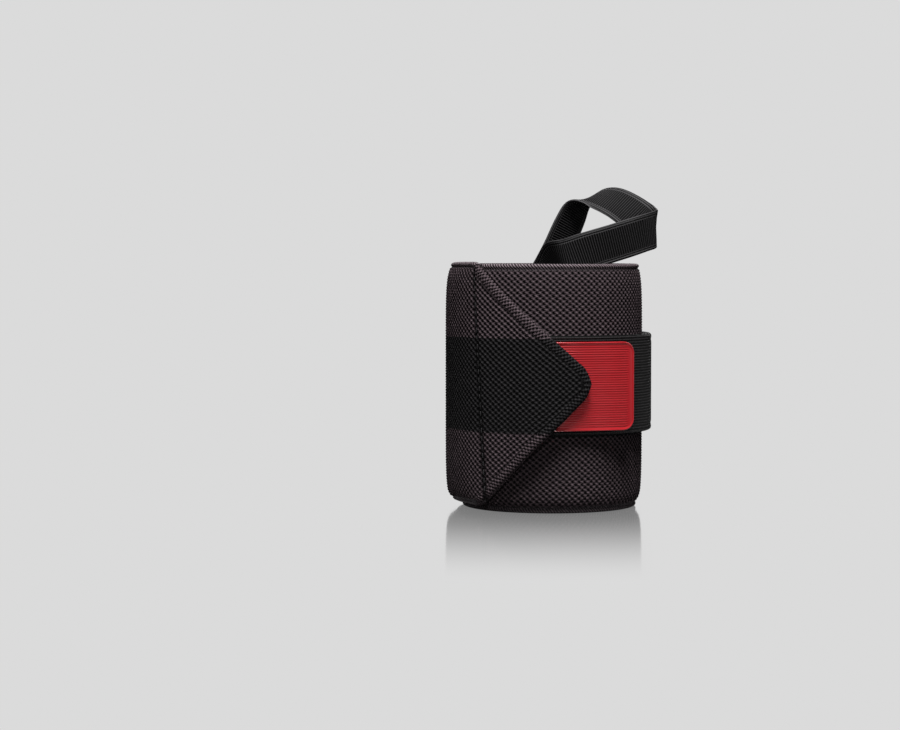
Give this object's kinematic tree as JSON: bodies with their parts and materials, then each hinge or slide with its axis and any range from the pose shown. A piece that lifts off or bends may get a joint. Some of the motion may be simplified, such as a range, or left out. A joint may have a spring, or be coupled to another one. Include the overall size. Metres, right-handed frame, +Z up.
{
  "type": "rolled wrist wrap",
  "caption": "Wide elastic wrist wrap rolled up and standing on edge, closed by a hook-and-loop strap with a rubber pull tab, with a thumb loop standing out of its core.",
  "frame": {"origin": "middle of the bounding box on the surface that the roll stands on; the roll's own axis is 2.2 mm to -X and 1.3 mm to +Y of it", "axes": "+Z up along the roll's axis, -Y the front with the folded point and the pull tab, +X the side that the point and the strap run towards"},
  "size_m": [0.0704, 0.0742, 0.1056],
  "materials": {
    "band_elastic": "charcoal and black woven elastic, matt, with coarse oval bumps",
    "strap_webbing": "black fine loop webbing, matt",
    "hook_face": "black hook tape, slightly shiny",
    "tab_rubber": "red moulded rubber, satin, with fine lengthwise ridges",
    "loop_elastic": "black ribbed elastic ribbon, soft sheen"
  },
  "bodies": {
    "root": {"wrap_band": "band_elastic", "closure_strap": "strap_webbing", "hook_tape": "hook_face", "pull_tab": "tab_rubber", "thumb_loop": "loop_elastic"}
  },
  "joints": []
}
